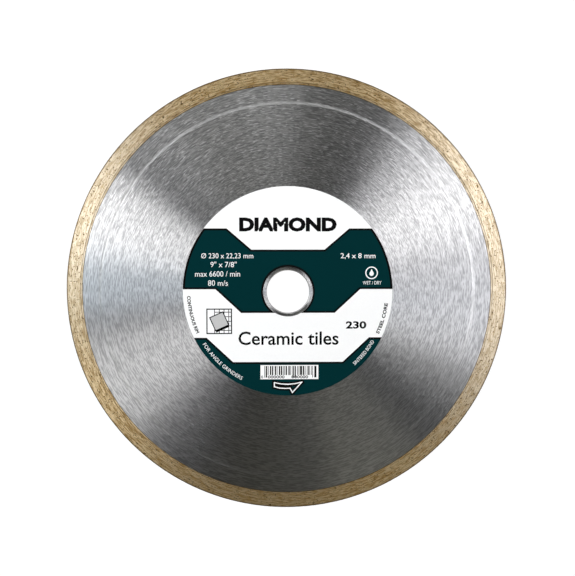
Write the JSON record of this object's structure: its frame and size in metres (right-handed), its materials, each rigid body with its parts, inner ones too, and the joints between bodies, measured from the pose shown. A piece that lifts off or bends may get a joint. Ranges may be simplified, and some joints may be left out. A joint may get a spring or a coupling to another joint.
{
  "type": "diamond blade",
  "caption": "Thin round cutting disc with a smooth continuous abrasive rim, a brushed steel body, a central spindle bore and a printed round label on one face.",
  "frame": {"origin": "on the bore's axis, half-way through the blade's thickness", "axes": "+Z along the spin axis, out of the labelled front face; +Y towards the top of the label's print"},
  "size_m": [0.23, 0.23, 0.0024],
  "materials": {
    "brushed_steel": "circularly brushed bare steel, satin",
    "backing_bronze": "ground sintered bronze bond, satin",
    "diamond_bronze": "ground sintered bronze bond filled with diamond grit, fine pits, satin",
    "printed_label": "white film label printed in dark green and black, semi-gloss"
  },
  "bodies": {
    "root": {"steel_core": "brushed_steel", "backing_ring": "backing_bronze", "diamond_rim": "diamond_bronze", "front_label": "printed_label"}
  },
  "joints": []
}
